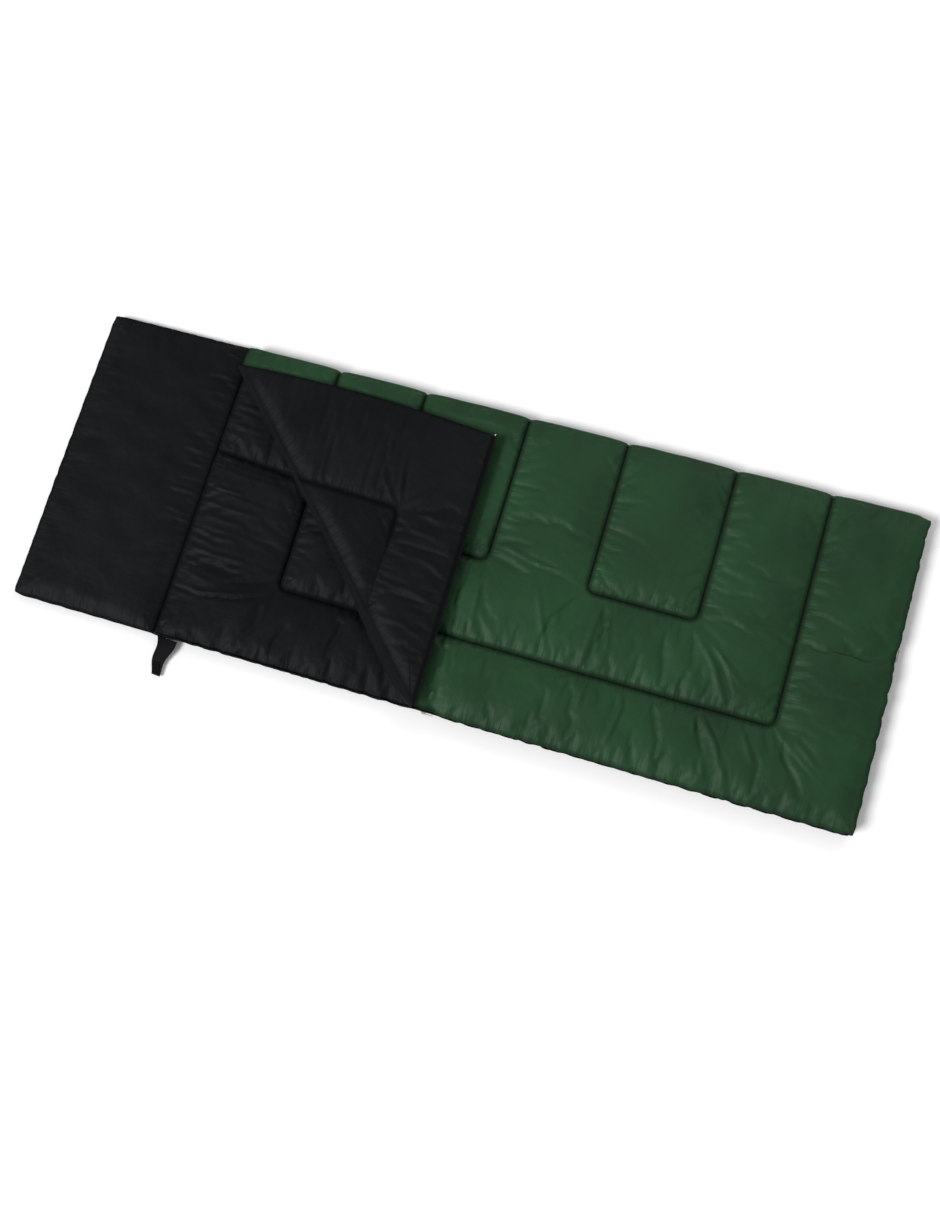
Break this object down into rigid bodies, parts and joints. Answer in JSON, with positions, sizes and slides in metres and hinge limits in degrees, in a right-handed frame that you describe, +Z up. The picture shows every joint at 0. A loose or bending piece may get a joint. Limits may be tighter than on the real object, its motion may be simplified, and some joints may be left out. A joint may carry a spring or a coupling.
{
  "type": "rectangular sleeping bag",
  "caption": "Rectangular quilted sleeping bag with a green shell, black lining, side zip and hood; its top corner is unzipped and folded back.",
  "frame": {"origin": "on the ground under the centre of the whole bag, hood included", "axes": "+X from the hood to the foot, +Y from the zipped long edge to the folded long edge, +Z up"},
  "size_m": [2.2033, 0.8796, 0.0862],
  "materials": {
    "shell_green": "satin",
    "lining_black": "satin",
    "filling": "matte",
    "thread_green": "matte",
    "zip_tape": "matte",
    "zip_teeth": "satin",
    "slider_metal": "satin",
    "end_stop": "polished",
    "tab_webbing": "matte",
    "hook_and_loop": "matte"
  },
  "bodies": {
    "base": {"base_outer_shell": "shell_green", "base_fill": "filling", "base_lining": "lining_black", "base_quilting_thread": "thread_green", "base_zip_tape": "zip_tape", "base_zip_teeth": "zip_teeth", "base_zip_end_stops": "end_stop", "tab_anchor": "tab_webbing"},
    "hood": {"hood_outer_shell": "shell_green", "hood_fill": "filling", "hood_lining": "lining_black"},
    "cover": {"cover_outer_shell": "shell_green", "cover_fill": "filling", "cover_lining": "lining_black", "cover_quilting_thread": "thread_green", "cover_zip_tape": "zip_tape", "cover_zip_teeth": "zip_teeth"},
    "flap": {"flap_outer_shell": "shell_green", "flap_fill": "filling", "flap_lining": "lining_black", "flap_quilting_thread": "thread_green", "flap_zip_tape": "zip_tape", "flap_zip_teeth": "zip_teeth", "flap_zip_top_stop": "end_stop", "flap_loop_patch": "hook_and_loop"},
    "slider_a": {"slider_a_body": "slider_metal"},
    "pull_a": {"slider_a_pull": "slider_metal"},
    "slider_b": {"slider_b_body": "slider_metal"},
    "pull_b": {"slider_b_pull": "slider_metal"},
    "tab": {"closure_tab": "tab_webbing", "tab_hook_patch": "hook_and_loop"}
  },
  "joints": [
    {"name": "hood_fold", "type": "hinge", "parent": "base", "child": "hood", "pos_m": [-0.7, 0, 0.026], "axis": [0, 1, 0], "range_deg": [0, 85]},
    {"name": "cover_open", "type": "hinge", "parent": "base", "child": "cover", "pos_m": [0, 0.4, 0.0282], "axis": [-1, 0, 0], "range_deg": [0, 160]},
    {"name": "flap_close", "type": "hinge", "parent": "cover", "child": "flap", "pos_m": [-0.696, 0.34, 0.0573], "axis": [0.6964, -0.7177, 0], "range_deg": [0, 180]},
    {"name": "slider_a_slide", "type": "slide", "parent": "base", "child": "slider_a", "axis": [1, 0, 0], "range_m": [-0.665, 1]},
    {"name": "pull_a_swing", "type": "hinge", "parent": "slider_a", "child": "pull_a", "pos_m": [0.035, -0.4015, 0.0282], "axis": [0, 0, -1], "range_deg": [0, 175]},
    {"name": "slider_b_slide", "type": "slide", "parent": "base", "child": "slider_b", "axis": [0, 1, 0], "range_m": [-0.39, 0.32]},
    {"name": "pull_b_swing", "type": "hinge", "parent": "slider_b", "child": "pull_b", "pos_m": [1.1015, 0.041, 0.0282], "axis": [0, 0, -1], "range_deg": [0, 175]},
    {"name": "tab_fold", "type": "hinge", "parent": "base", "child": "tab", "pos_m": [0, -0.4014, 0.0122], "axis": [-1, 0, 0], "range_deg": [0, 85]}
  ]
}
